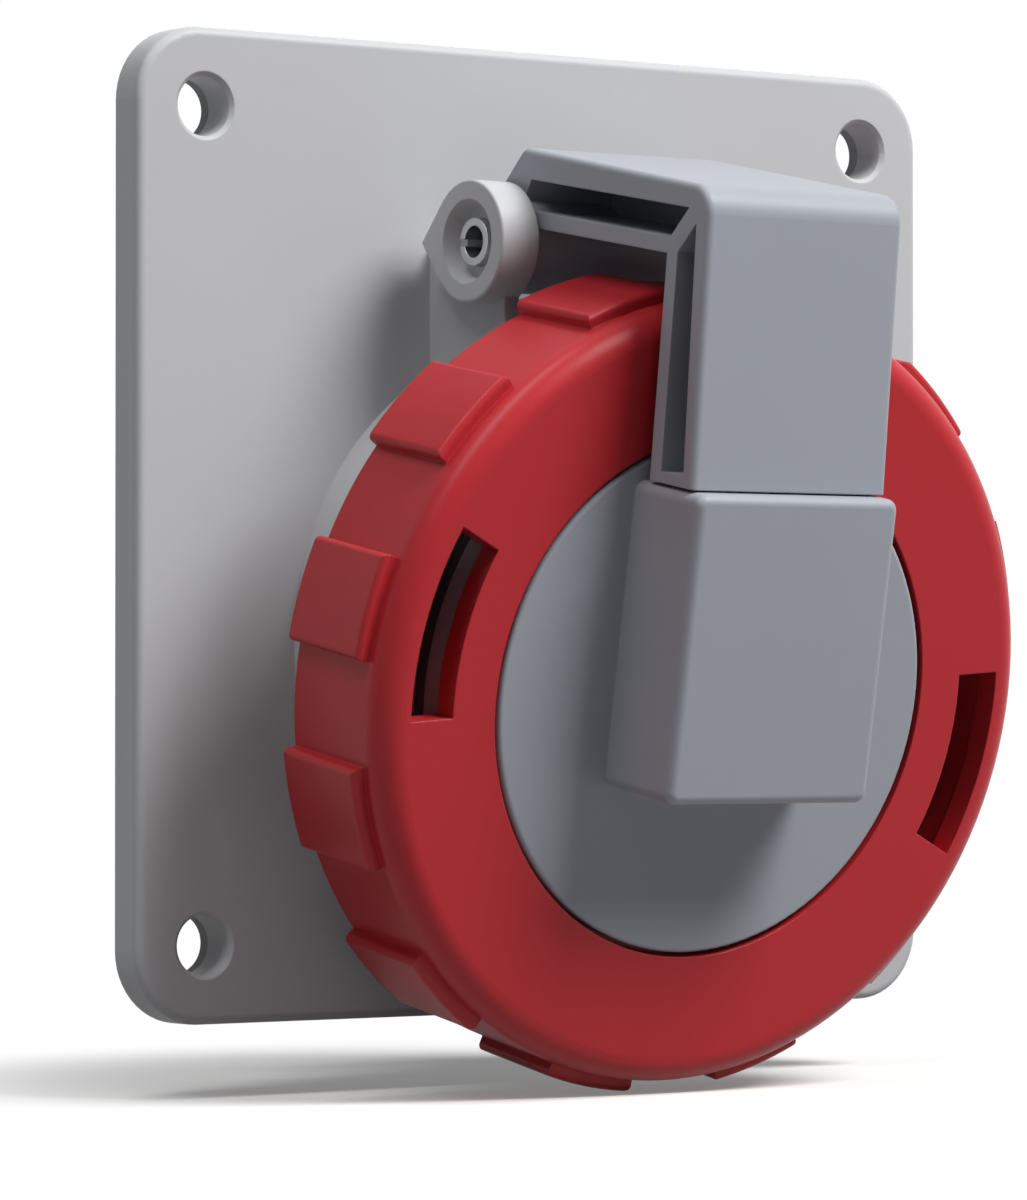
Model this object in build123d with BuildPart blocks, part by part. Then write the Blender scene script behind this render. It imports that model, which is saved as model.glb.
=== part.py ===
from build123d import *
import os
from math import cos, radians, sin

os.makedirs("parts", exist_ok=True)

# Inclined panel socket with a hinged lid and a bayonet ring, in millimetres.
# X is to the right, Z is up, and the socket faces -Y.
# The origin is the centre of the fixing holes, on the face that meets the panel.
# Heights run along the socket's axis, outwards from the flange's front face.

# Flange and its fixing
flange_side = 107.0
flange_thickness = 4.5
flange_corner_radius = 8.0
flange_edge_round = 1.0
fixing_margin = 8.5
fixing_hole_radius = 3.25
fixing_hole_chamfer = 0.45
panel_gasket_thickness = 1.5
panel_gasket_inset = 1.5
panel_gasket_clearance = 2.8

# Socket axis
socket_tilt = 10.0
socket_drop = 12.9
lid_front = 31.3

# Bayonet ring
ring_reach = 9.2
ring_depth = 16.6
ring_wall = 2.8
ring_front_wall = 3.0
ring_edge_round = 3.0
ring_rest_angle = -11.5
ring_lock_turn = 37.0
grip_count = 12
grip_height = 1.5
grip_half_angle = 7.5
grip_front_setback = 3.4
grip_edge_round = 0.7
window_half_angle = 15.5
window_outer_margin = 0.8
window_inner_margin = 1.1
lip_overlap = 1.3
lip_width = 4.2
lip_thickness = 1.5
stop_width = 1.5
stop_half_angle = 3.0
stop_play_angle = 0.8
tab_angle = 90.0
tab_half_angle = 4.0

# Bayonet: lugs in the ring, ramps on the collar
bayonet_count = 2
lug_thickness = 2.5
lug_half_angle = 14.0
lug_play = 0.4
ramp_thickness = 2.6
ramp_half_angle = 13.0
ramp_stop_angle = 3.0
swing_clearance = 1.4

# Lid
disc_radius = 28.1
disc_gap = 0.5
disc_rim_thickness = 2.1
disc_edge_round = 0.5
lid_plate_thickness = 2.5
lid_gasket_thickness = 1.8
lid_gasket_width = 2.6
lid_gasket_edge_round = 0.2
gasket_keeper_width = 1.8
block_top_margin = 4.9
block_bottom = -9.7
block_depth = 11.4
block_side_lip = 0.4
block_edge_round = 1.0
block_corner_radius = 1.3
slot_floor_wall = 2.6
tongue_side_wall = 2.4
tongue_end_wall = 5.0
tongue_thickness = 4.4

# Lid arm
arm_half_width = 13.0
arm_rise = 9.9
arm_front_top = 7.0
arm_front_low = 9.3
arm_depth = 7.5
arm_roof_wall = 2.6
arm_roof_fall = 0.7
arm_front_wall = 1.8
arm_rib = 1.8
arm_shelf_rise = 2.2
arm_web = 3.0
arm_corner_round = 3.2
arm_edge_round = 0.8
arm_brace = 1.5
arm_back_slant = 1.2
arm_top_taper = 1.2
arm_heel = 1.6
arm_pocket_floor = 1.2

# Hinge
hinge_standoff = 11.3
hinge_above_ring = 1.0
barrel_radius = 5.4
ear_radius = 6.7
ear_thickness = 4.8
ear_tip_reach = 8.8
ear_tip_rise = 0.4
ear_web_inset = 2.9
ear_web_reach = 3.0
ear_recess_radius = 4.6
ear_recess_floor_radius = 3.8
ear_recess_depth = 1.9
ear_edge_round = 0.3
pin_radius = 2.6
pin_bore_radius = 1.75
pin_slit = 0.8
pin_end_depth = 0.9

# Collar and rear barrel
collar_reach = 5.5
collar_wall = 2.4
collar_rim_chamfer = 0.6
shroud_depth = 26.5
ledge_thickness = 5.0
keyway_width = 7.0
keyway_depth = 1.4

# Contact insert
plug_shroud_gap = 5.2
insert_recess = 3.5
insert_flange_thickness = 4.0
insert_edge_round = 1.0
seal_section_radius = 0.75
terminal_carrier_inset = 2.5
terminal_carrier_length = 20.0
terminal_carrier_chamfer = 0.8
earth_angle = -90.0
contact_margin = 9.8
contact_pitch_angle = 72.0
contact_guide_depth = 3.0
phase_pin_radius = 3.0
earth_pin_radius = 4.0
contact_wall = 1.2
contact_slot_width = 0.8
contact_slot_length = 16.0
contact_neck = 1.0
terminal_wall = 0.65
terminal_end_wall = 2.8
wire_bore_ratio = 0.8
wire_bore_length = 13.0
spring_wall = 0.7
spring_length = 4.0
spring_setback = 2.6
spring_gap_half_angle = 20.0

# Screws
screw_radius = 1.4
screw_head_radius = 2.3
screw_head_height = 1.6
screw_bite = 3.4
screw_slot_width = 0.7
screw_slot_depth = 0.7
lid_screw_margin = 7.1
lid_screw_count = 4
lid_screw_start_angle = 45.0
arm_screw_spacing = 12.0
arm_screw_rise = 5.0
arm_screw_bite = 3.2
insert_screw_count = 3
insert_screw_start_angle = 90.0
carrier_screw_radius = 2.0
carrier_screw_head_radius = 3.8
carrier_screw_head_sink = 1.6
carrier_screw_bite = 9.0
clamp_screw_radius = 1.9
clamp_screw_length = 4.0
clamp_screw_first = 5.5
clamp_screw_spacing = 5.5

# Clearances
flat_gap = 0.3
turning_gap = 0.5
running_gap = 0.06
fixed_gap = 0.02
assembly_gap = 0.2
hinge_side_gap = 0.9
# How far a cut runs past the face that it opens
cut_through = 1.0
# How near to its place an edge has to lie to be picked
pick_tolerance = 0.05

# Sizes that follow from the disc and the flange
collar_radius = disc_radius + collar_reach
ring_radius = collar_radius + ring_reach
hinge_height = ring_radius + hinge_above_ring - socket_drop
block_top = disc_radius - block_top_margin
lid_screw_circle = disc_radius - lid_screw_margin
fixing_pitch = flange_side - 2 * fixing_margin

# Places that follow from the sizes above
flange_back = panel_gasket_thickness
flange_front = flange_back + flange_thickness
axis_direction = Vector(0, -cos(radians(socket_tilt)), -sin(radians(socket_tilt)))
rise_direction = Vector(0, -sin(radians(socket_tilt)), cos(radians(socket_tilt)))
axis_foot = Vector(0, -flange_front, -socket_drop)
hinge_centre = Vector(0, -flange_front - hinge_standoff, hinge_height)

socket_axis = Axis(axis_foot, axis_direction)
hinge_axis = Axis(hinge_centre, (1, 0, 0))
# Seen from the front: x to the right, y up the lid, z out of the socket
face_plane = Plane(origin=axis_foot, x_dir=(1, 0, 0), z_dir=axis_direction)
# Radius along x and height along y, for turned outlines
turning_plane = Plane(origin=axis_foot, x_dir=(1, 0, 0), z_dir=-rise_direction)
# Height along x and rise along y, for the arm's side view
side_plane = Plane(origin=axis_foot, x_dir=axis_direction, z_dir=(-1, 0, 0))
# X along x and radius along y, for shapes turned about the hinge pin
pin_plane = Plane(origin=hinge_centre, x_dir=(1, 0, 0), z_dir=(0, -1, 0))

hinge_level = (hinge_centre - axis_foot).dot(axis_direction)
hinge_rise = (hinge_centre - axis_foot).dot(rise_direction)

# Heights from the lid's front down to the rear of the terminals
disc_under = lid_front - disc_rim_thickness
lip_top = disc_under - flat_gap
lip_bottom = lip_top - lip_thickness
lid_plate_top = lip_bottom - flat_gap
lid_plate_under = lid_plate_top - lid_plate_thickness
lid_gasket_under = lid_plate_under - lid_gasket_thickness
collar_rim = lid_gasket_under - flat_gap
ring_back = lid_front - ring_depth
ring_under = lid_front - ring_front_wall
lug_top = ring_back + lug_thickness
ramp_bottom = lug_top + lug_play
ramp_top = ramp_bottom + ramp_thickness
insert_face = collar_rim - insert_recess
shroud_floor = collar_rim - shroud_depth
ledge_under = shroud_floor - ledge_thickness
insert_back = ledge_under - insert_flange_thickness
barrel_back = insert_back - screw_head_height - turning_gap
terminal_back = insert_back - terminal_carrier_length

# Radii about the socket's axis
ring_bore = disc_radius + disc_gap
ring_inner = ring_radius - ring_wall
lip_inner = disc_radius - lip_overlap
hub_radius = lip_inner - turning_gap
lip_outer = lip_inner + lip_width
lid_plate_radius = collar_radius - turning_gap
lug_inner = collar_radius + swing_clearance
ramp_radius = ring_inner - swing_clearance
shroud_radius = collar_radius - collar_wall
insert_radius = shroud_radius - plug_shroud_gap
terminal_carrier_radius = insert_radius - terminal_carrier_inset
contact_circle_radius = insert_radius - contact_margin
ledge_bore = insert_radius + flat_gap
insert_flange_radius = shroud_radius - flat_gap
insert_screw_circle = (ledge_bore + shroud_radius) / 2
seal_circle = insert_radius - seal_section_radius + assembly_gap
window_inner = lug_inner - window_inner_margin
window_outer = ring_inner - window_outer_margin
lid_gasket_inner = lid_plate_radius - lid_gasket_width
keeper_radius = lid_gasket_inner - fixed_gap
lid_screw_tip = lid_front - turning_gap - disc_edge_round

# The arm's side view, as (height, rise) points
arm_top = hinge_rise + arm_rise
arm_low = block_top + assembly_gap
arm_front_at_top = lid_front + arm_front_top
arm_front_at_low = lid_front + arm_front_low
arm_shelf_under = hinge_rise + arm_shelf_rise
arm_shelf_top = arm_shelf_under + arm_rib
tongue_back = lid_front + slot_floor_wall + assembly_gap
tongue_front = tongue_back + tongue_thickness
tongue_low = block_bottom + tongue_end_wall + assembly_gap
tongue_half_width = arm_half_width - tongue_side_wall
ear_inner = arm_half_width + hinge_side_gap
ear_outer = ear_inner + ear_thickness

# Angles
lock_angle = ring_rest_angle - ring_lock_turn


def polar(radius, angle):
    """A point on a circle about the socket's axis, seen from the front."""
    return (radius * cos(radians(angle)), radius * sin(radians(angle)))


def turned(points, mode=Mode.ADD):
    """Turn an outline of (radius, height) points about the socket's axis."""
    with BuildSketch(turning_plane) as outline:
        with BuildLine():
            Polyline(points, close=True)
        make_face()
    revolve(outline.sketch, axis=socket_axis, mode=mode)


def turned_on_pin(points, mode=Mode.ADD):
    """Turn an outline of (x, radius) points about the hinge pin."""
    with BuildSketch(pin_plane) as outline:
        with BuildLine():
            Polyline(points, close=True)
        make_face()
    revolve(outline.sketch, axis=hinge_axis, mode=mode)


def bored(centre, radius, low, high, mode=Mode.SUBTRACT):
    """A round hole or stub along the socket's axis, between two heights."""
    with BuildSketch(face_plane.offset(low)) as spot:
        with Locations(centre):
            Circle(radius)
    extrude(spot.sketch, amount=high - low, mode=mode)


def sector(inner, outer, centre_angle, half_angle, low, high, mode=Mode.ADD):
    """A piece of a flat ring about the socket's axis, between two heights."""
    with BuildSketch(face_plane.offset(low)) as slab:
        with BuildLine():
            outside = CenterArc((0, 0), outer, centre_angle - half_angle, 2 * half_angle)
            inside = CenterArc((0, 0), inner, centre_angle - half_angle, 2 * half_angle)
            Line(outside @ 0, inside @ 0)
            Line(outside @ 1, inside @ 1)
        make_face()
    extrude(slab.sketch, amount=high - low, mode=mode)


def radius_of(edge):
    """How far an edge's middle lies from the socket's axis."""
    offset = edge.center() - axis_foot
    along = offset.dot(axis_direction)
    return (offset - axis_direction * along).length


def height_of(edge):
    """How high an edge's middle lies along the socket's axis."""
    return (edge.center() - axis_foot).dot(axis_direction)


def rise_of(edge):
    """How far up the lid an edge's middle lies."""
    return (edge.center() - axis_foot).dot(rise_direction)


def screw(centre, head_low, tip, radius, head_radius, head_height):
    """A pan-headed screw along the socket's axis, driven outwards from behind."""
    bored(centre, head_radius, head_low, head_low + head_height, mode=Mode.ADD)
    bored(centre, radius, head_low + head_height, tip, mode=Mode.ADD)
    with BuildSketch(face_plane.offset(head_low)) as slot:
        with Locations(centre):
            Rectangle(2 * (head_radius + cut_through), screw_slot_width)
    extrude(slot.sketch, amount=screw_slot_depth, mode=Mode.SUBTRACT)


def save(builder, label):
    """Name a finished piece and write it."""
    builder.part.label = label
    export_step(builder.part, f"parts/{label}.step")


# Where the repeated pieces go
lock_centres = [lock_angle + 360 / bayonet_count * i for i in range(bayonet_count)]
lug_centres = [ring_rest_angle + 360 / bayonet_count * i for i in range(bayonet_count)]
grip_centres = [ring_rest_angle + 360 / grip_count * i for i in range(grip_count)]
lid_screw_centres = [
    polar(lid_screw_circle, lid_screw_start_angle + 360 / lid_screw_count * i)
    for i in range(lid_screw_count)
]
arm_screw_centres = [
    (-arm_screw_spacing / 2, arm_screw_rise),
    (arm_screw_spacing / 2, arm_screw_rise),
]
insert_screw_centres = [
    polar(insert_screw_circle, insert_screw_start_angle + 360 / insert_screw_count * i)
    for i in range(insert_screw_count)
]
# name, angle on the contact circle, pin radius
contact_rows = [
    ("contact_earth", earth_angle, earth_pin_radius),
    ("contact_l1", earth_angle - contact_pitch_angle, phase_pin_radius),
    ("contact_l2", earth_angle - 2 * contact_pitch_angle, phase_pin_radius),
    ("contact_l3", earth_angle + 2 * contact_pitch_angle, phase_pin_radius),
    ("contact_neutral", earth_angle + contact_pitch_angle, phase_pin_radius),
]


def sleeve_bore(pin):
    return pin + running_gap


def sleeve_radius(pin):
    return sleeve_bore(pin) + contact_wall


def terminal_radius(pin):
    return sleeve_radius(pin) + terminal_wall


def spring_radius(pin):
    return sleeve_radius(pin) + fixed_gap + spring_wall


# Flange, collar, rear barrel and hinge ears, one moulding
with BuildPart() as flange_housing:
    with BuildSketch(Plane.XZ.offset(flange_back)):
        RectangleRounded(flange_side, flange_side, flange_corner_radius)
    extrude(amount=flange_thickness)
    fillet(flange_housing.faces().sort_by(Axis.Y)[0].edges(), flange_edge_round)
    bored((0, 0), collar_radius, barrel_back, collar_rim, mode=Mode.ADD)
    chamfer(
        flange_housing.edges().filter_by(lambda e: height_of(e) > collar_rim - pick_tolerance),
        collar_rim_chamfer,
    )
    # Hinge ears, one each side of the arm: a pointed boss on a thinner web
    for side in (-1, 1):
        with BuildSketch(Plane.YZ.offset(side * ear_inner)):
            with Locations((hinge_centre.Y, hinge_centre.Z)):
                Circle(ear_radius)
            with BuildLine():
                Line(
                    (hinge_centre.Y, hinge_centre.Z),
                    (hinge_centre.Y + ear_tip_reach, hinge_centre.Z + ear_tip_rise),
                )
            make_hull()
        extrude(amount=side * ear_thickness)
    ear_faces = flange_housing.faces().filter_by(
        lambda f: abs(abs(f.center().X) - ear_outer) < pick_tolerance
    )
    fillet(ear_faces.edges(), ear_edge_round)
    for side in (-1, 1):
        with BuildSketch(Plane.YZ.offset(side * ear_inner)):
            with BuildLine():
                Polyline(
                    (-flange_back - flange_edge_round, hinge_centre.Z + ear_tip_rise),
                    (-flange_back - flange_edge_round, 0),
                    (hinge_centre.Y - ear_web_reach, 0),
                    (hinge_centre.Y - ear_web_reach, hinge_centre.Z),
                    close=True,
                )
            make_face()
        extrude(amount=side * (ear_thickness - ear_web_inset))
    for side in (-1, 1):
        turned_on_pin(
            [
                (side * (ear_outer + cut_through), 0),
                (side * (ear_outer + cut_through), ear_recess_radius),
                (side * ear_outer, ear_recess_radius),
                (side * (ear_outer - ear_recess_depth), ear_recess_floor_radius),
                (side * (ear_outer - ear_recess_depth), 0),
            ],
            mode=Mode.SUBTRACT,
        )
    turned_on_pin(
        [
            (-ear_outer, 0),
            (-ear_outer, pin_radius + fixed_gap),
            (ear_outer, pin_radius + fixed_gap),
            (ear_outer, 0),
        ],
        mode=Mode.SUBTRACT,
    )
    # Bayonet ramps and their end stops
    for centre in lock_centres:
        sector(
            collar_radius - collar_wall / 2, ramp_radius, centre, ramp_half_angle, ramp_bottom, ramp_top
        )
        stop_at = centre - lug_half_angle - stop_play_angle - ramp_stop_angle / 2
        sector(
            collar_radius - collar_wall / 2, ramp_radius, stop_at, ramp_stop_angle / 2, ring_back, ramp_top
        )
        sector(
            collar_radius - collar_wall / 2,
            ramp_radius,
            (stop_at + centre - ramp_half_angle) / 2,
            (centre - ramp_half_angle - stop_at) / 2,
            ramp_bottom,
            ramp_top,
        )
    # Bores from the front and from behind, with the ledge between them
    bored((0, 0), shroud_radius, shroud_floor, collar_rim)
    bored((0, 0), ledge_bore, ledge_under, shroud_floor)
    bored((0, 0), shroud_radius, barrel_back, ledge_under)
    with BuildSketch(face_plane.offset(shroud_floor)):
        with Locations((0, -shroud_radius)):
            Rectangle(keyway_width, 2 * keyway_depth)
    extrude(amount=collar_rim - shroud_floor, mode=Mode.SUBTRACT)
    for centre in insert_screw_centres:
        bored(centre, screw_radius + fixed_gap, ledge_under, ledge_under + screw_bite + turning_gap)
    with BuildSketch(Plane.XZ.offset(flange_back)):
        with GridLocations(fixing_pitch, fixing_pitch, 2, 2):
            Circle(fixing_hole_radius)
    extrude(amount=flange_thickness, mode=Mode.SUBTRACT)
    chamfer(
        flange_housing.edges()
        .filter_by(GeomType.CIRCLE)
        .filter_by(lambda e: abs(e.radius - fixing_hole_radius) < pick_tolerance)
        .group_by(Axis.Y)[0],
        fixing_hole_chamfer,
    )
save(flange_housing, "flange_housing")

# Rubber sheet between the flange and the panel
with BuildPart() as flange_gasket:
    with BuildSketch(Plane.XZ):
        RectangleRounded(
            flange_side - 2 * panel_gasket_inset,
            flange_side - 2 * panel_gasket_inset,
            flange_corner_radius - panel_gasket_inset,
        )
        with GridLocations(fixing_pitch, fixing_pitch, 2, 2):
            Circle(fixing_hole_radius, mode=Mode.SUBTRACT)
    extrude(amount=panel_gasket_thickness)
    bored((0, 0), collar_radius + panel_gasket_clearance, barrel_back, collar_rim)
save(flange_gasket, "flange_gasket")

# Front half of the insert, with the guides for the plug's pins
with BuildPart() as contact_carrier:
    turned(
        [
            (0, insert_back),
            (insert_flange_radius, insert_back),
            (insert_flange_radius, ledge_under),
            (insert_radius, ledge_under),
            (insert_radius, insert_face),
            (0, insert_face),
        ]
    )
    fillet(
        contact_carrier.edges().filter_by(lambda e: height_of(e) > insert_face - pick_tolerance),
        insert_edge_round,
    )
    seal_height = ledge_under + ledge_thickness / 2
    turned(
        [
            (seal_circle - seal_section_radius, seal_height - seal_section_radius),
            (insert_flange_radius, seal_height - seal_section_radius),
            (insert_flange_radius, seal_height + seal_section_radius),
            (seal_circle - seal_section_radius, seal_height + seal_section_radius),
        ],
        mode=Mode.SUBTRACT,
    )
    guide_low = insert_face - contact_guide_depth
    spring_top = guide_low - spring_setback
    for name, angle, pin in contact_rows:
        spot = polar(contact_circle_radius, angle)
        bored(spot, pin + assembly_gap, guide_low, insert_face)
        bored(spot, sleeve_radius(pin) + fixed_gap, insert_back, guide_low)
        bored(
            spot,
            spring_radius(pin) + assembly_gap,
            spring_top - spring_length - assembly_gap,
            guide_low,
        )
    for centre in insert_screw_centres:
        bored(centre, screw_radius + assembly_gap, insert_back, ledge_under)
    bored(
        (0, 0),
        carrier_screw_radius + fixed_gap,
        insert_back,
        insert_back + carrier_screw_bite + turning_gap,
    )
save(contact_carrier, "contact_carrier")

# Seal round the insert, in its groove under the ledge's edge
with BuildPart() as insert_seal:
    with BuildSketch(turning_plane):
        with Locations((seal_circle, seal_height)):
            Circle(seal_section_radius)
    revolve(axis=socket_axis)
save(insert_seal, "insert_seal")

# Rear half of the insert, which closes the contacts in
clamp_heights = [
    insert_back - clamp_screw_first,
    insert_back - clamp_screw_first - clamp_screw_spacing,
]
with BuildPart() as terminal_carrier:
    bored((0, 0), terminal_carrier_radius, terminal_back, insert_back, mode=Mode.ADD)
    chamfer(
        terminal_carrier.edges().filter_by(lambda e: height_of(e) < terminal_back + pick_tolerance),
        terminal_carrier_chamfer,
    )
    for name, angle, pin in contact_rows:
        spot = polar(contact_circle_radius, angle)
        bored(spot, terminal_radius(pin) + fixed_gap, terminal_back + terminal_end_wall, insert_back)
        bored(spot, pin * wire_bore_ratio + assembly_gap, terminal_back, insert_back)
        outward = face_plane.from_local_coords((*polar(1, angle), 0)) - axis_foot
        for height in clamp_heights:
            seat = face_plane.from_local_coords((*polar(contact_circle_radius, angle), height))
            with BuildSketch(Plane(origin=seat, x_dir=axis_direction, z_dir=outward)):
                Circle(clamp_screw_radius + assembly_gap)
            extrude(amount=terminal_carrier_radius, mode=Mode.SUBTRACT)
    bored((0, 0), carrier_screw_radius + assembly_gap, terminal_back, insert_back)
    bored(
        (0, 0),
        carrier_screw_head_radius + assembly_gap,
        terminal_back,
        terminal_back + carrier_screw_head_sink + screw_head_height,
    )
save(terminal_carrier, "terminal_carrier")

# Screw that holds the two halves of the insert together
with BuildPart() as carrier_screw:
    screw(
        (0, 0),
        terminal_back + carrier_screw_head_sink,
        insert_back + carrier_screw_bite,
        carrier_screw_radius,
        carrier_screw_head_radius,
        screw_head_height,
    )
save(carrier_screw, "carrier_screw")

# Contact sleeves, slit at the front, with a terminal behind
for name, angle, pin in contact_rows:
    spot = polar(contact_circle_radius, angle)
    sleeve_top = guide_low - fixed_gap
    terminal_low = terminal_back + terminal_end_wall + fixed_gap
    slot_reach = 2 * (sleeve_radius(pin) + cut_through)
    with BuildPart() as contact:
        bored(spot, sleeve_radius(pin), insert_back, sleeve_top, mode=Mode.ADD)
        bored(spot, terminal_radius(pin), terminal_low, insert_back - fixed_gap, mode=Mode.ADD)
        bored(spot, sleeve_radius(pin), insert_back - contact_neck, insert_back, mode=Mode.ADD)
        bored(spot, sleeve_bore(pin), insert_back, sleeve_top)
        bored(spot, pin * wire_bore_ratio, terminal_low, terminal_low + wire_bore_length)
        with BuildSketch(face_plane.offset(sleeve_top - contact_slot_length)):
            with Locations(spot):
                for turn in (0, 90):
                    Rectangle(slot_reach, contact_slot_width, rotation=angle + turn)
        extrude(amount=contact_slot_length, mode=Mode.SUBTRACT)
        outward = face_plane.from_local_coords((*polar(1, angle), 0)) - axis_foot
        for height in clamp_heights:
            seat = face_plane.from_local_coords((*spot, height))
            with BuildSketch(Plane(origin=seat, x_dir=axis_direction, z_dir=outward)):
                Circle(clamp_screw_radius + fixed_gap)
            extrude(amount=terminal_radius(pin) + cut_through, mode=Mode.SUBTRACT)
    save(contact, name)

# Spring rings round the slit ends of the sleeves
with BuildPart() as contact_springs:
    for name, angle, pin in contact_rows:
        spot = polar(contact_circle_radius, angle)
        with BuildSketch(face_plane.offset(spring_top - spring_length)):
            with Locations(spot):
                Circle(spring_radius(pin))
                Circle(sleeve_radius(pin) + fixed_gap, mode=Mode.SUBTRACT)
            with Locations(polar(contact_circle_radius - spring_radius(pin), angle)):
                Rectangle(
                    2 * spring_radius(pin),
                    2 * spring_radius(pin) * sin(radians(spring_gap_half_angle)),
                    rotation=angle,
                    mode=Mode.SUBTRACT,
                )
        extrude(amount=spring_length)
save(contact_springs, "contact_springs")

# Screws that clamp the wires, two to a terminal
with BuildPart() as terminal_screws:
    for name, angle, pin in contact_rows:
        outward = face_plane.from_local_coords((*polar(1, angle), 0)) - axis_foot
        inner_end = contact_circle_radius + pin * wire_bore_ratio
        for height in clamp_heights:
            seat = face_plane.from_local_coords((*polar(inner_end, angle), height))
            with BuildSketch(Plane(origin=seat, x_dir=axis_direction, z_dir=outward)):
                Circle(clamp_screw_radius)
            extrude(amount=clamp_screw_length)
            top = seat + outward * (clamp_screw_length - screw_slot_depth)
            with BuildSketch(Plane(origin=top, x_dir=axis_direction, z_dir=outward)):
                Rectangle(2 * (clamp_screw_radius + cut_through), screw_slot_width)
            extrude(amount=screw_slot_depth, mode=Mode.SUBTRACT)
save(terminal_screws, "terminal_screws")

# Screws that hold the insert to the ledge, from behind
with BuildPart() as insert_screws:
    for centre in insert_screw_centres:
        screw(
            centre,
            insert_back - screw_head_height,
            ledge_under + screw_bite,
            screw_radius,
            screw_head_radius,
            screw_head_height,
        )
save(insert_screws, "insert_screws")

# Hollow slit pin through the ears and the arm's barrel
pin_half_length = ear_outer - pin_end_depth
with BuildPart() as hinge_pin:
    turned_on_pin(
        [
            (-pin_half_length, pin_bore_radius),
            (-pin_half_length, pin_radius),
            (pin_half_length, pin_radius),
            (pin_half_length, pin_bore_radius),
        ]
    )
    with BuildSketch(pin_plane.offset(-pin_bore_radius / 2)):
        Rectangle(2 * pin_half_length, pin_slit)
    extrude(amount=-pin_radius, mode=Mode.SUBTRACT)
save(hinge_pin, "hinge_pin")

# Lid cover: the flush disc, its hub and the block that takes the arm's tongue
block_rise = (block_top + block_bottom) / 2
block_half_width = arm_half_width + block_side_lip
with BuildPart() as lid_cover:
    turned(
        [
            (0, lid_plate_top),
            (hub_radius, lid_plate_top),
            (hub_radius, disc_under),
            (disc_radius, disc_under),
            (disc_radius, lid_front),
            (0, lid_front),
        ]
    )
    fillet(
        lid_cover.edges().filter_by(lambda e: height_of(e) > lid_front - pick_tolerance),
        disc_edge_round,
    )
    with BuildSketch(face_plane.offset(lid_front)):
        with Locations((0, block_rise)):
            RectangleRounded(2 * block_half_width, block_top - block_bottom, block_corner_radius)
    extrude(amount=block_depth)
    fillet(
        lid_cover.edges().filter_by(lambda e: height_of(e) > lid_front + block_depth - pick_tolerance),
        block_edge_round,
    )
    with BuildSketch(side_plane):
        with BuildLine():
            Polyline(
                (tongue_back - assembly_gap, block_top + cut_through),
                (tongue_front + assembly_gap, block_top + cut_through),
                (tongue_front + assembly_gap, tongue_low - assembly_gap),
                (tongue_back - assembly_gap, tongue_low - assembly_gap),
                close=True,
            )
        make_face()
    extrude(amount=tongue_half_width + assembly_gap, both=True, mode=Mode.SUBTRACT)
    for centre in lid_screw_centres:
        bored(centre, screw_radius + fixed_gap, lid_plate_top, lid_screw_tip + assembly_gap)
    for centre in arm_screw_centres:
        bored(centre, screw_radius + assembly_gap, lid_plate_top, tongue_back)
save(lid_cover, "lid_cover")

# Lid arm: hinge barrel, outer wall, inner rib, central web and tongue
arm_back_at_top = arm_front_at_top - arm_depth + arm_top_taper
arm_back_at_low = arm_front_at_low - arm_depth
roof_under = arm_top - arm_roof_wall
pocket_start = hinge_level + arm_heel
pocket_floor = arm_low + arm_pocket_floor
arm_outline_points = [
    (hinge_level - barrel_radius, hinge_rise),
    (hinge_level - barrel_radius, hinge_rise + arm_shelf_rise),
    (hinge_level + arm_back_slant, arm_top + arm_roof_fall),
    (arm_front_at_top, arm_top),
    (arm_front_at_low, arm_low),
    (arm_back_at_low, arm_low),
    (arm_back_at_top, arm_shelf_under),
    (hinge_level, arm_shelf_under),
    (hinge_level, hinge_rise),
]
roof_pocket_points = [
    (pocket_start, arm_shelf_top),
    (pocket_start + arm_back_slant, roof_under),
    (arm_front_at_top - arm_front_wall - arm_brace, roof_under),
    (arm_back_at_top + arm_rib - arm_brace, arm_shelf_top),
]
front_pocket_points = [
    (arm_front_at_top - arm_front_wall, roof_under - arm_brace),
    (arm_front_at_low - arm_front_wall, pocket_floor),
    (arm_back_at_low + arm_rib, pocket_floor),
    (arm_back_at_top + arm_rib, arm_shelf_top - arm_brace),
]
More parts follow.
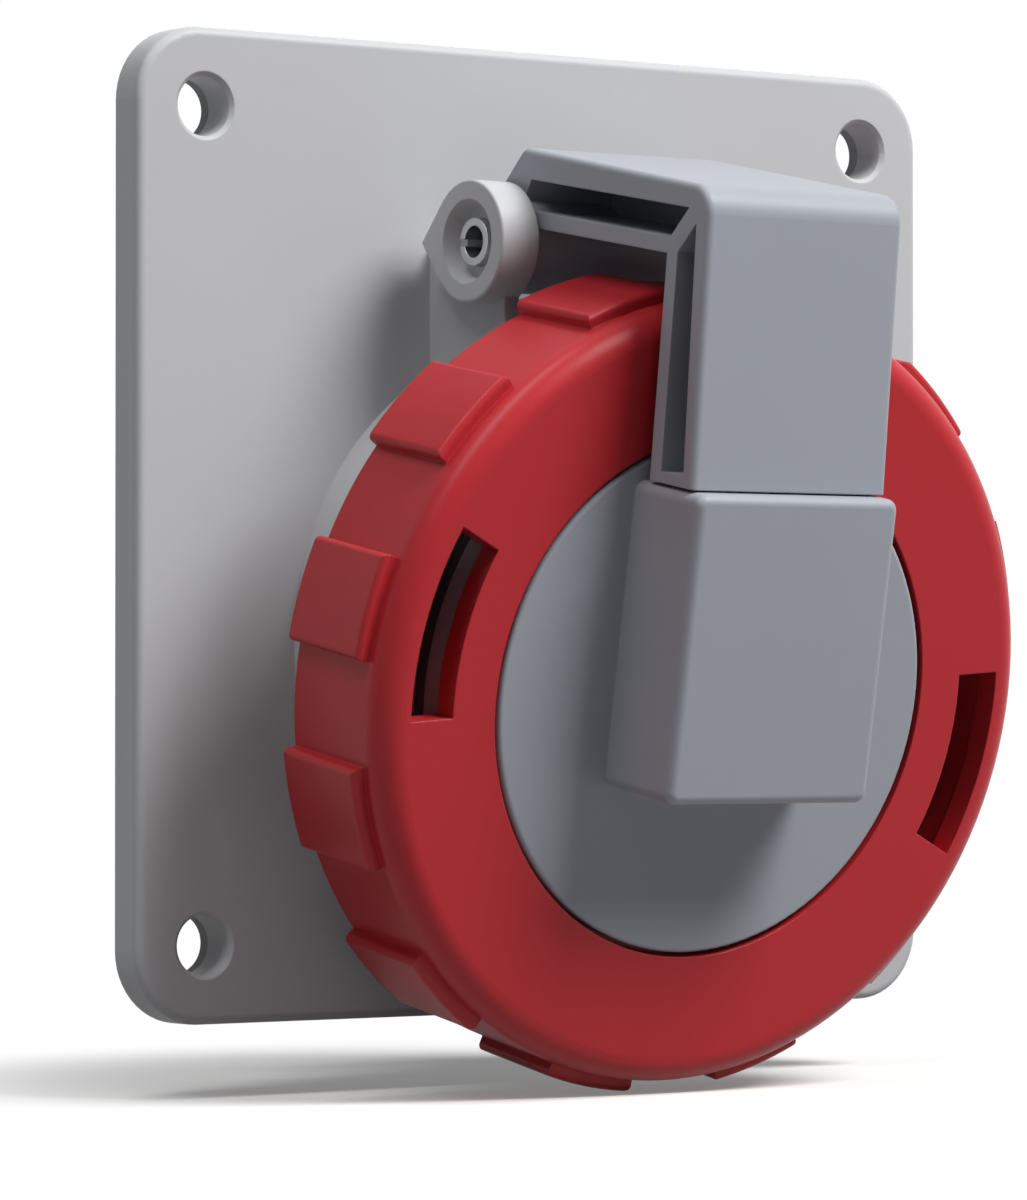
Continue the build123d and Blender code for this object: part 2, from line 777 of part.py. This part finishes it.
with BuildPart() as lid_arm:
    with BuildSketch(side_plane) as arm_outline:
        with BuildLine():
            Polyline(arm_outline_points, close=True)
        make_face()
        outer_corner = arm_outline.vertices().sort_by_distance((arm_front_at_top, arm_top))[0]
        fillet(outer_corner, arm_corner_round)
    extrude(amount=arm_half_width, both=True)
    fillet(
        lid_arm.edges().filter_by(
            lambda e: abs(abs(e.center().X) - arm_half_width) < pick_tolerance
            and (rise_of(e) > arm_top - pick_tolerance or height_of(e) > arm_front_at_top - pick_tolerance)
            and rise_of(e) > arm_low + pick_tolerance
        ),
        arm_edge_round,
    )
    for pocket_points in (roof_pocket_points, front_pocket_points):
        for side in (-1, 1):
            with BuildSketch(side_plane.offset(side * arm_web / 2)):
                with BuildLine():
                    Polyline(pocket_points, close=True)
                make_face()
            extrude(amount=side * arm_half_width, mode=Mode.SUBTRACT)
    turned_on_pin(
        [
            (-arm_half_width, 0),
            (-arm_half_width, barrel_radius),
            (arm_half_width, barrel_radius),
            (arm_half_width, 0),
        ]
    )
    turned_on_pin(
        [
            (-arm_half_width, 0),
            (-arm_half_width, pin_radius + running_gap),
            (arm_half_width, pin_radius + running_gap),
            (arm_half_width, 0),
        ],
        mode=Mode.SUBTRACT,
    )
    with BuildSketch(side_plane):
        with BuildLine():
            Polyline(
                (tongue_back, arm_low),
                (tongue_front, arm_low),
                (tongue_front, tongue_low),
                (tongue_back, tongue_low),
                close=True,
            )
        make_face()
    extrude(amount=tongue_half_width, both=True)
    for centre in arm_screw_centres:
        bored(
            centre,
            screw_radius + fixed_gap,
            tongue_back,
            tongue_back + arm_screw_bite + turning_gap,
        )
save(lid_arm, "lid_arm")

# Plate behind the cover, which traps the ring and carries the gasket
with BuildPart() as lid_plate:
    turned(
        [
            (0, lid_plate_under),
            (keeper_radius - gasket_keeper_width, lid_plate_under),
            (keeper_radius - gasket_keeper_width, lid_gasket_under + assembly_gap),
            (keeper_radius, lid_gasket_under + assembly_gap),
            (keeper_radius, lid_plate_under),
            (lid_plate_radius, lid_plate_under),
            (lid_plate_radius, lid_plate_top),
            (0, lid_plate_top),
        ]
    )
    for centre in lid_screw_centres + arm_screw_centres:
        bored(centre, screw_radius + assembly_gap, lid_plate_under, lid_plate_top)
        bored(
            centre,
            screw_head_radius + assembly_gap,
            lid_plate_under,
            lid_plate_under + screw_head_height,
        )
    # Tab between the ring's two stops
    sector(
        lip_outer + flat_gap,
        lid_plate_radius - flat_gap,
        tab_angle,
        tab_half_angle,
        lid_plate_top - assembly_gap,
        ring_under - flat_gap,
    )
save(lid_plate, "lid_plate")

# Gasket that the lid presses on the collar's rim
with BuildPart() as lid_gasket:
    turned(
        [
            (lid_gasket_inner, lid_gasket_under),
            (lid_plate_radius, lid_gasket_under),
            (lid_plate_radius, lid_plate_under),
            (lid_gasket_inner, lid_plate_under),
        ]
    )
    fillet(
        lid_gasket.edges().filter_by(lambda e: height_of(e) < lid_gasket_under + pick_tolerance),
        lid_gasket_edge_round,
    )
save(lid_gasket, "lid_gasket")

# Screws from behind into the cover, and two longer ones into the arm's tongue
with BuildPart() as lid_screws:
    for centre in lid_screw_centres:
        screw(centre, lid_plate_under, lid_screw_tip, screw_radius, screw_head_radius, screw_head_height)
save(lid_screws, "lid_screws")

with BuildPart() as arm_screws:
    for centre in arm_screw_centres:
        screw(
            centre,
            lid_plate_under,
            tongue_back + arm_screw_bite,
            screw_radius,
            screw_head_radius,
            screw_head_height,
        )
save(arm_screws, "arm_screws")

# Bayonet ring, which turns round the disc
with BuildPart() as bayonet_ring:
    turned(
        [
            (ring_bore, lid_front),
            (ring_radius, lid_front),
            (ring_radius, ring_back),
            (ring_inner, ring_back),
            (ring_inner, ring_under),
            (lip_outer, ring_under),
            (lip_outer, lip_bottom),
            (lip_inner, lip_bottom),
            (lip_inner, lip_top),
            (ring_bore, lip_top),
        ]
    )
    fillet(
        bayonet_ring.edges().filter_by(
            lambda e: radius_of(e) > ring_radius - pick_tolerance
            and height_of(e) > lid_front - pick_tolerance
        ),
        ring_edge_round,
    )
    for centre in grip_centres:
        sector(
            ring_radius - ring_wall / 2,
            ring_radius + grip_height,
            centre,
            grip_half_angle,
            ring_back,
            lid_front - grip_front_setback,
        )
    fillet(
        bayonet_ring.edges().filter_by(
            lambda e: radius_of(e) > ring_radius + grip_height - pick_tolerance
            and height_of(e) > ring_back + pick_tolerance
        ),
        grip_edge_round,
    )
    for centre in lug_centres:
        sector(
            window_inner,
            window_outer,
            centre,
            window_half_angle,
            ring_under - cut_through,
            lid_front + cut_through,
            Mode.SUBTRACT,
        )
        sector(lug_inner, ring_inner + ring_wall / 2, centre, lug_half_angle, ring_back, lug_top)
    near_stop = tab_angle - tab_half_angle - stop_play_angle - stop_half_angle
    far_stop = tab_angle + tab_half_angle + ring_lock_turn + stop_play_angle + stop_half_angle
    for centre in (near_stop, far_stop):
        sector(
            lip_outer - lip_thickness / 2,
            lip_outer + stop_width,
            centre,
            stop_half_angle,
            lip_bottom,
            ring_under + ring_front_wall / 2,
        )
save(bayonet_ring, "bayonet_ring")
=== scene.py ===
"""Finishes, stage and camera for an inclined panel socket with a hinged lid and a turning ring."""

from math import cos, radians, sin

import bpy
from bpy.props import FloatProperty, FloatVectorProperty, PointerProperty
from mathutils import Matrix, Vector


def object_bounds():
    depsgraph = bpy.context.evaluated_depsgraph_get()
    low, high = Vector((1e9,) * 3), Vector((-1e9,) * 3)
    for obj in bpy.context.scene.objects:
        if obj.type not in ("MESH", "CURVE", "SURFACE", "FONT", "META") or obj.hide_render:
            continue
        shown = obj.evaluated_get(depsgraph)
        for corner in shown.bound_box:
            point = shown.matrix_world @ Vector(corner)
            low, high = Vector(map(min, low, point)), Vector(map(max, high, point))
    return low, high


bl_info = {
    "name": "Inclined Panel Socket",
    "version": (1, 0, 0),
    "blender": (4, 5, 0),
    "location": "3D View > Sidebar > Panel Socket",
    "description": "Moulded plastics, sealing rubber, plated metal, stage and camera for a panel socket",
    "category": "Object",
}

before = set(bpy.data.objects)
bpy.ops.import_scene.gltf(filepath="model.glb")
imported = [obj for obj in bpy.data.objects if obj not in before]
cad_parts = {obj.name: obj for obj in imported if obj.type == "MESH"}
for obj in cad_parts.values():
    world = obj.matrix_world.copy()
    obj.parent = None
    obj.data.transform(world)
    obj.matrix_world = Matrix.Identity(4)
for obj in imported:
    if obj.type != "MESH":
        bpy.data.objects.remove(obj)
cad_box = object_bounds()

# Faces that meet at more than this angle keep a hard edge between them
SMOOTH_ANGLE = radians(32.0)
# Rays per softened edge
EDGE_SAMPLES = 4
# Widths of the plastics' features, in metres
CLOUD_WIDTH = 0.022
STREAK_WIDTH = 0.006
SCRATCH_WIDTH = 0.0016
# How strongly the plastics' grain, edges and clouds show; the edges are painted lighter, partly as wear
# and partly as a painted highlight
GRAIN_STRENGTH = 0.55
EDGE_WEAR_AND_HIGHLIGHT = 0.22
EDGE_POLISH = 0.06
CLOUD_GLOSS = 0.08
PLASTIC_OPTICS = {"IOR": 1.5, "Specular IOR Level": 0.22}
# Widths of the bloom and grain on rubber, and the depth of that grain, in metres
BLOOM_WIDTH = 0.004
RUBBER_GRAIN = 0.00045
RUBBER_DEPTH = 0.00002
RUBBER_GLOSS = 0.72
# Widths of the tarnish and turning marks on metal, and their depth, in metres
TARNISH_WIDTH = 0.003
MARK_WIDTH = 0.0002
MARK_DEPTH = 0.000006
# Where the lamps hang: turn to the right of the socket's front, height angle and distance
KEY_PLACE = (radians(30.0), radians(48.0), 0.9)
RIM_PLACE = (radians(-70.0), radians(62.0), 0.8)
KEY_SIZE = (0.42, 0.42)
RIM_SIZE = (0.15, 0.6)
# The floor's half width, and where its shadow has faded to white
FLOOR_REACH = 4.0
SHADOW_FADE = (0.07, 0.102)


class FinishSizes(bpy.types.PropertyGroup):
    """Colours and surface sizes of the socket's materials."""

    housing_grey: FloatVectorProperty(
        name="Housing Grey",
        description="Colour of the flange, the collar and the hinge ears",
        default=(0.47, 0.475, 0.49),
        subtype="COLOR",
    )
    lid_grey: FloatVectorProperty(
        name="Lid Grey",
        description="Colour of the lid's disc, block, arm and inner plate",
        default=(0.32, 0.335, 0.375),
        subtype="COLOR",
    )
    ring_red: FloatVectorProperty(
        name="Ring Red",
        description="Colour of the bayonet ring",
        default=(0.46, 0.021, 0.028),
        subtype="COLOR",
    )
    rubber_black: FloatVectorProperty(
        name="Rubber Black",
        description="Colour of the lid gasket and the insert's seal",
        default=(0.022, 0.022, 0.023),
        subtype="COLOR",
    )
    rubber_grey: FloatVectorProperty(
        name="Rubber Grey",
        description="Colour of the sheet behind the flange",
        default=(0.3, 0.305, 0.31),
        subtype="COLOR",
    )
    insert_black: FloatVectorProperty(
        name="Insert Black",
        description="Colour of the two halves of the contact insert",
        default=(0.035, 0.036, 0.038),
        subtype="COLOR",
    )
    contact_metal: FloatVectorProperty(
        name="Contact Metal",
        description="Colour of the plated brass sleeves and terminals",
        default=(0.7, 0.6, 0.4),
        subtype="COLOR",
    )
    steel_grey: FloatVectorProperty(
        name="Steel Grey",
        description="Colour of the screws, springs and hinge pin",
        default=(0.56, 0.57, 0.58),
        subtype="COLOR",
    )
    grain_size: FloatProperty(
        name="Grain Size",
        description="Width of one grain of the moulded texture",
        default=0.00032,
        unit="LENGTH",
    )
    grain_depth: FloatProperty(
        name="Grain Depth",
        description="Height of the moulded texture",
        default=0.000012,
        unit="LENGTH",
    )
    edge_radius: FloatProperty(
        name="Edge Radius",
        description="Softening of the moulded edges",
        default=0.00025,
        unit="LENGTH",
    )


class StageSizes(bpy.types.PropertyGroup):
    """Sizes and strengths of the stage, the lamps and the camera."""

    camera_place: FloatVectorProperty(
        name="Camera Place",
        description="Where the camera stands",
        default=(-0.3758, -0.5270, -0.0180),
        subtype="TRANSLATION",
        unit="LENGTH",
    )
    camera_yaw: FloatProperty(
        name="Camera Yaw",
        description="How far the camera looks to the right of straight ahead",
        default=radians(35.48),
        subtype="ANGLE",
    )
    camera_pitch: FloatProperty(
        name="Camera Pitch",
        description="How far the camera looks above the level",
        default=radians(0.927),
        subtype="ANGLE",
    )
    lens: FloatProperty(
        name="Lens",
        description="Focal length on a 36 mm sensor",
        default=172.69,
        unit="CAMERA",
    )
    key_power: FloatProperty(
        name="Key Power",
        description="Strength of the large lamp above and to the right",
        default=10.6,
        unit="POWER",
    )
    rim_power: FloatProperty(
        name="Rim Power",
        description="Strength of the long lamp above and to the left",
        default=2.6,
        unit="POWER",
    )
    fill_level: FloatProperty(
        name="Fill Level",
        description="Brightness of the room's light on the object",
        default=0.08,
        min=0.0,
    )
    floor_gap: FloatProperty(
        name="Floor Gap",
        description="Distance from the socket's lowest point down to the floor",
        default=0.0003,
        unit="LENGTH",
    )


class Wire:
    """The value of a socket, so that shader sums are written as plain expressions."""

    def __init__(self, tree, socket):
        self.tree = tree
        self.socket = socket

    def maths(self, operation, first, second):
        return self.tree.add("ShaderNodeMath", {"operation": operation}, {0: first, 1: second})

    def __add__(self, other):
        return self.maths("ADD", self, other)

    def __radd__(self, other):
        return self.maths("ADD", other, self)

    def __sub__(self, other):
        return self.maths("SUBTRACT", self, other)

    def __rsub__(self, other):
        return self.maths("SUBTRACT", other, self)

    def __mul__(self, other):
        return self.maths("MULTIPLY", self, other)

    def __rmul__(self, other):
        return self.maths("MULTIPLY", other, self)


class ShaderTree:
    """A node tree that is filled by expressions."""

    def __init__(self, owner):
        owner.use_nodes = True
        self.owner = owner
        self.nodes = owner.node_tree.nodes
        self.links = owner.node_tree.links
        self.nodes.clear()

    def add(self, kind, settings=None, inputs=None, output=0):
        """Makes a node, sets it up, feeds its sockets and returns one of its outputs, if it has any."""
        node = self.nodes.new(kind)
        for name, value in (settings or {}).items():
            setattr(node, name, value)
        for key, value in (inputs or {}).items():
            if isinstance(value, Wire):
                self.links.new(value.socket, node.inputs[key])
            else:
                node.inputs[key].default_value = value
        if node.outputs:
            return Wire(self, node.outputs[output])

    def place(self):
        return self.add("ShaderNodeTexCoord", output="Object")

    def noise(self, width, detail=2.0, stretch=None, seed=0.0, distortion=0.0):
        """Soft noise with features of about that width, from 0 to 1."""
        where = self.place()
        if stretch:
            where = self.add(
                "ShaderNodeVectorMath", {"operation": "MULTIPLY"}, {0: where, 1: stretch}
            )
        return self.add(
            "ShaderNodeTexNoise",
            {"noise_dimensions": "4D"},
            {
                "Vector": where,
                "W": seed,
                "Scale": 1 / width,
                "Detail": detail,
                "Roughness": 0.55,
                "Distortion": distortion,
            },
        )

    def step(self, value, low, high):
        """Rises from 0 to 1 while the value goes from low to high."""
        return self.add(
            "ShaderNodeMapRange",
            {"interpolation_type": "SMOOTHSTEP"},
            {"Value": value, "From Min": low, "From Max": high},
        )

    def blend(self, factor, first, second):
        """Mixes two colours."""
        return self.add(
            "ShaderNodeMix",
            {"data_type": "RGBA"},
            {0: factor, 6: first, 7: second},
            output=2,
        )

    def edges(self, radius):
        """The softened normal, and a mask that is 1 on the sharpest edges."""
        soft = self.add("ShaderNodeBevel", {"samples": EDGE_SAMPLES}, {"Radius": radius})
        flat = self.add("ShaderNodeNewGeometry", output="True Normal")
        along = self.add(
            "ShaderNodeVectorMath", {"operation": "DOT_PRODUCT"}, {0: soft, 1: flat}, output="Value"
        )
        return soft, self.step(1 - along, 0.0, 0.25)

    def finish(self, constants, **varied):
        """The surface shader, with what is the same all over set on its own sockets."""
        names = {key: key.replace("_", " ").title() for key in varied}
        shader = self.add(
            "ShaderNodeBsdfPrincipled",
            inputs={**constants, **{names[key]: value for key, value in varied.items()}},
        )
        self.add("ShaderNodeOutputMaterial", inputs={"Surface": shader})
        return self.owner


def solid(colour, factor=1.0):
    """A colour with its alpha, made lighter or darker."""
    return (*[min(1.0, channel * factor) for channel in colour], 1.0)


def moulded_plastic(name, colour, sizes, gloss=0.42, haze=0.04, scuffs=0.05):
    """Injection-moulded plastic: eroded grain, faint flow clouds, scuffs and slightly polished edges,
    painted lighter partly as wear and partly as a highlight.
    """
    tree = ShaderTree(bpy.data.materials.new(name))
    soft, edge = tree.edges(sizes.edge_radius)
    cloud = tree.noise(CLOUD_WIDTH, detail=3.0, distortion=0.6)
    streak = tree.noise(STREAK_WIDTH, detail=2.0, stretch=(1.0, 1.0, 0.18), seed=3.0)
    speck = tree.step(tree.noise(sizes.grain_size * 3, detail=1.0, seed=5.0), 0.62, 0.75)
    tone = tree.blend(cloud, solid(colour, 1 - haze), solid(colour, 1 + haze))
    tone = tree.blend(streak * (haze * 2), tone, solid(colour, 1 + 2 * haze))
    tone = tree.blend(speck * haze, tone, solid(colour, 0.8))
    # Edges painted lighter: partly wear, partly a painted highlight where the rounded edges catch the
    # light
    worn_and_highlit = [0.6 * channel + 0.4 * min(1.0, channel + 0.25) for channel in colour]
    tone = tree.blend(edge * EDGE_WEAR_AND_HIGHLIGHT, tone, solid(worn_and_highlit))
    fibres = tree.noise(SCRATCH_WIDTH, detail=4.0, stretch=(0.25, 1.0, 1.0), seed=9.0, distortion=2.0)
    scratch = tree.step(fibres, 0.6, 0.72)
    rough = gloss + (cloud - 0.5) * CLOUD_GLOSS + scratch * scuffs - edge * EDGE_POLISH
    texture = tree.noise(sizes.grain_size, detail=2.0, seed=1.0)
    bump = tree.add(
        "ShaderNodeBump",
        inputs={
            "Strength": GRAIN_STRENGTH,
            "Distance": sizes.grain_depth,
            "Height": texture + streak * 0.5 - scratch * 0.25,
            "Normal": soft,
        },
    )
    return tree.finish(PLASTIC_OPTICS, base_color=tone, roughness=rough, normal=bump)


def sealing_rubber(name, colour, sizes):
    """Matt rubber with a fine bloom, and edges painted lighter, partly as dust and partly as a
    highlight.
    """
    tree = ShaderTree(bpy.data.materials.new(name))
    soft, edge = tree.edges(sizes.edge_radius)
    bloom = tree.step(tree.noise(BLOOM_WIDTH, detail=4.0, distortion=0.8), 0.45, 0.8)
    # Lighter colour for the bloom, and for the edges, where it is partly dust and partly a painted
    # highlight
    dusty_and_highlit = [channel + 0.035 for channel in colour]
    tone = tree.blend(bloom * 0.3 + edge * 0.2, solid(colour), solid(dusty_and_highlit))
    grain = tree.noise(RUBBER_GRAIN, detail=3.0, seed=2.0)
    bump = tree.add(
        "ShaderNodeBump",
        inputs={"Strength": 0.6, "Distance": RUBBER_DEPTH, "Height": grain, "Normal": soft},
    )
    rough = RUBBER_GLOSS + bloom * 0.15
    return tree.finish({"IOR": 1.52}, base_color=tone, roughness=rough, normal=bump)


def turned_metal(name, colour, sizes, gloss, tarnish):
    """Plated metal with turning marks, a little tarnish and edges painted bright as a highlight."""
    tree = ShaderTree(bpy.data.materials.new(name))
    soft, edge = tree.edges(sizes.edge_radius * 0.5)
    dull = tree.step(tree.noise(TARNISH_WIDTH, detail=4.0, distortion=1.0), 0.4, 0.75)
    marks = tree.noise(MARK_WIDTH, detail=3.0, stretch=(1.0, 0.05, 1.0), seed=4.0)
    tone = tree.blend(dull * tarnish, solid(colour), solid(colour, 0.62))
    # Edges painted brighter: a painted highlight
    tone = tree.blend(edge * 0.5, tone, solid(colour, 1.25))
    bump = tree.add(
        "ShaderNodeBump",
        inputs={"Strength": 0.35, "Distance": MARK_DEPTH, "Height": marks, "Normal": soft},
    )
    rough = gloss + dull * 0.14 + marks * 0.08
    return tree.finish({"Metallic": 1.0}, base_color=tone, roughness=rough, normal=bump)


def dress(material, *nodes):
    """Gives CAD nodes a material, and hard edges only where faces meet at a wide angle."""
    for name in nodes:
        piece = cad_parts[name]
        piece.data.materials.clear()
        piece.data.materials.append(material)
        piece.data.set_sharp_from_angle(angle=SMOOTH_ANGLE)


class SOCKET_OT_housing(bpy.types.Operator):
    """Finish the moulded housing with its flange, collar and ears"""

    bl_idname = "socket.housing"
    bl_label = "Housing"

    def execute(self, context):
        sizes = context.scene.socket_finishes
        dress(moulded_plastic("housing_plastic", sizes.housing_grey, sizes), "flange_housing")
        return {"FINISHED"}


class SOCKET_OT_lid(bpy.types.Operator):
    """Finish the lid's disc and block, the arm and the inner plate"""

    bl_idname = "socket.lid"
    bl_label = "Lid"

    def execute(self, context):
        sizes = context.scene.socket_finishes
        plastic = moulded_plastic("lid_plastic", sizes.lid_grey, sizes, gloss=0.4)
        dress(plastic, "lid_cover", "lid_arm", "lid_plate")
        return {"FINISHED"}


class SOCKET_OT_ring(bpy.types.Operator):
    """Finish the red bayonet ring"""

    bl_idname = "socket.ring"
    bl_label = "Bayonet Ring"

    def execute(self, context):
        sizes = context.scene.socket_finishes
        plastic = moulded_plastic("ring_plastic", sizes.ring_red, sizes, gloss=0.36, scuffs=0.09)
        dress(plastic, "bayonet_ring")
        return {"FINISHED"}


class SOCKET_OT_seals(bpy.types.Operator):
    """Finish the flange gasket, the lid gasket and the insert's seal"""

    bl_idname = "socket.seals"
    bl_label = "Seals"

    def execute(self, context):
        sizes = context.scene.socket_finishes
        dress(sealing_rubber("sheet_rubber", sizes.rubber_grey, sizes), "flange_gasket")
        dress(sealing_rubber("sealing_rubber", sizes.rubber_black, sizes), "lid_gasket", "insert_seal")
        return {"FINISHED"}


class SOCKET_OT_insert(bpy.types.Operator):
    """Finish the two halves of the contact insert"""

    bl_idname = "socket.insert"
    bl_label = "Contact Insert"

    def execute(self, context):
        sizes = context.scene.socket_finishes
        plastic = moulded_plastic("insert_plastic", sizes.insert_black, sizes, gloss=0.5, haze=0.12)
        dress(plastic, "contact_carrier", "terminal_carrier")
        return {"FINISHED"}


class SOCKET_OT_contacts(bpy.types.Operator):
    """Finish the five plated contact sleeves with their terminals"""

    bl_idname = "socket.contacts"
    bl_label = "Contacts"

    def execute(self, context):
        sizes = context.scene.socket_finishes
        metal = turned_metal("contact_metal", sizes.contact_metal, sizes, gloss=0.26, tarnish=0.35)
        dress(metal, "contact_earth", "contact_l1", "contact_l2", "contact_l3", "contact_neutral")
        return {"FINISHED"}


class SOCKET_OT_steel(bpy.types.Operator):
    """Finish the screws, the sleeves' springs and the hinge pin"""

    bl_idname = "socket.steel"
    bl_label = "Screws, Springs and Pin"

    def execute(self, context):
        sizes = context.scene.socket_finishes
        steel = turned_metal("plated_steel", sizes.steel_grey, sizes, gloss=0.24, tarnish=0.2)
        dress(
            steel,
            "hinge_pin",
            "lid_screws",
            "arm_screws",
            "insert_screws",
            "carrier_screw",
            "terminal_screws",
            "contact_springs",
        )
        return {"FINISHED"}


def towards(right_turn, height_angle, distance):
    """A point that far from the origin, turned to the right of the socket's front and raised."""
    level = distance * cos(height_angle)
    return Vector((level * sin(right_turn), -level * cos(right_turn), distance * sin(height_angle)))


def area_lamp(name, place, target, size, power):
    """A rectangular lamp that faces a target."""
    data = bpy.data.lights.new(name, "AREA")
    data.shape = "RECTANGLE"
    data.size, data.size_y = size
    data.energy = power
    lamp = bpy.data.objects.new(name, data)
    lamp.location = place
    lamp.rotation_euler = (target - place).to_track_quat("-Z", "Y").to_euler()
    bpy.context.scene.collection.objects.link(lamp)


def seen_directly(tree):
    """1 for the rays that show the stage itself: camera, mirror and see-through rays."""
    camera = tree.add("ShaderNodeLightPath", output="Is Camera Ray")
    glossy = tree.add("ShaderNodeLightPath", output="Is Glossy Ray")
    through = tree.add("ShaderNodeLightPath", output="Is Transmission Ray")
    both = camera.maths("MAXIMUM", camera, glossy)
    return both.maths("MAXIMUM", both, through)


def make_world(level):
    """White where the stage is looked at, and a soft even light on the object."""
    world = bpy.data.worlds.new("studio")
    bpy.context.scene.world = world
    tree = ShaderTree(world)
    room = tree.add("ShaderNodeBackground", inputs={"Color": (0.93, 0.97, 1.0, 1.0), "Strength": level})
    white = tree.add("ShaderNodeBackground", inputs={"Color": (1.0, 1.0, 1.0, 1.0), "Strength": 1.0})
    mixed = tree.add("ShaderNodeMixShader", inputs={0: seen_directly(tree), 1: room, 2: white})
    tree.add("ShaderNodeOutputWorld", inputs={"Surface": mixed})


def make_floor(height):
    """A wide pale floor that keeps the socket's shadow and is white elsewhere."""
    mesh = bpy.data.meshes.new("floor")
    turns = ((-1, -1), (1, -1), (1, 1), (-1, 1))
    corners = [(across * FLOOR_REACH, along * FLOOR_REACH, height) for across, along in turns]
    mesh.from_pydata(corners, [], [(0, 1, 2, 3)])
    floor = bpy.data.objects.new("floor", mesh)
    bpy.context.scene.collection.objects.link(floor)
    tree = ShaderTree(bpy.data.materials.new("floor_paper"))
    paper = tree.add("ShaderNodeBsdfDiffuse", inputs={"Color": (0.8, 0.8, 0.79, 1.0)})
    glow = tree.add("ShaderNodeEmission", inputs={"Color": (1.0, 1.0, 0.99, 1.0), "Strength": 0.2})
    near = tree.add("ShaderNodeAddShader", inputs={0: paper, 1: glow})
    far = tree.add("ShaderNodeEmission", inputs={"Color": (1.0, 1.0, 1.0, 1.0), "Strength": 1.0})
    distance = tree.add(
        "ShaderNodeVectorMath", {"operation": "LENGTH"}, {0: tree.place()}, output="Value"
    )
    white = tree.step(distance, *SHADOW_FADE)
    shown = tree.add("ShaderNodeMixShader", inputs={0: white, 1: near, 2: far})
    dim = tree.add("ShaderNodeBsdfDiffuse", inputs={"Color": (0.25, 0.25, 0.25, 1.0)})
    mixed = tree.add("ShaderNodeMixShader", inputs={0: seen_directly(tree), 1: dim, 2: shown})
    tree.add("ShaderNodeOutputMaterial", inputs={"Surface": mixed})
    mesh.materials.append(tree.owner)


def make_camera(stage):
    """The camera, at the place and angle of the reference view."""
    data = bpy.data.cameras.new("camera")
    data.sensor_width = 36.0
    data.lens = stage.lens
    camera = bpy.data.objects.new("camera", data)
    camera.location = stage.camera_place
    camera.rotation_euler = (radians(90.0) + stage.camera_pitch, 0.0, -stage.camera_yaw)
    bpy.context.scene.collection.objects.link(camera)
    bpy.context.scene.camera = camera


class SOCKET_OT_stage(bpy.types.Operator):
    """Add the floor, the studio light and the camera"""

    bl_idname = "socket.stage"
    bl_label = "Stage"

    def execute(self, context):
        stage = context.scene.socket_stage
        middle = Vector((0.0, -0.02, 0.0))
        area_lamp("key_lamp", middle + towards(*KEY_PLACE), middle, KEY_SIZE, stage.key_power)
        area_lamp("rim_lamp", middle + towards(*RIM_PLACE), middle, RIM_SIZE, stage.rim_power)
        make_world(stage.fill_level)
        make_floor(cad_box[0][2] - stage.floor_gap)
        make_camera(stage)
        context.scene.view_settings.view_transform = "Standard"
        return {"FINISHED"}


PIECE_OPERATORS = (
    SOCKET_OT_housing,
    SOCKET_OT_lid,
    SOCKET_OT_ring,
    SOCKET_OT_seals,
    SOCKET_OT_insert,
    SOCKET_OT_contacts,
    SOCKET_OT_steel,
    SOCKET_OT_stage,
)


class SOCKET_PT_sidebar(bpy.types.Panel):
    """Lists the socket's sizes, colours and operators"""

    bl_idname = "SOCKET_PT_sidebar"
    bl_label = "Panel Socket"
    bl_space_type = "VIEW_3D"
    bl_region_type = "UI"
    bl_category = "Panel Socket"

    def draw(self, context):
        for group in (context.scene.socket_finishes, context.scene.socket_stage):
            box = self.layout.box()
            for name in group.bl_rna.properties.keys():
                if name not in ("rna_type", "name"):
                    box.prop(group, name)
        for operator in PIECE_OPERATORS:
            self.layout.operator(operator.bl_idname)


CLASSES = (FinishSizes, StageSizes, *PIECE_OPERATORS, SOCKET_PT_sidebar)


def register():
    for entry in CLASSES:
        bpy.utils.register_class(entry)
    bpy.types.Scene.socket_finishes = PointerProperty(type=FinishSizes)
    bpy.types.Scene.socket_stage = PointerProperty(type=StageSizes)


def unregister():
    del bpy.types.Scene.socket_stage
    del bpy.types.Scene.socket_finishes
    for entry in reversed(CLASSES):
        bpy.utils.unregister_class(entry)


def main():
    register()
    bpy.ops.socket.housing()
    bpy.ops.socket.lid()
    bpy.ops.socket.ring()
    bpy.ops.socket.seals()
    bpy.ops.socket.insert()
    bpy.ops.socket.contacts()
    bpy.ops.socket.steel()
    bpy.ops.socket.stage()


if __name__ == "__main__":
    main()
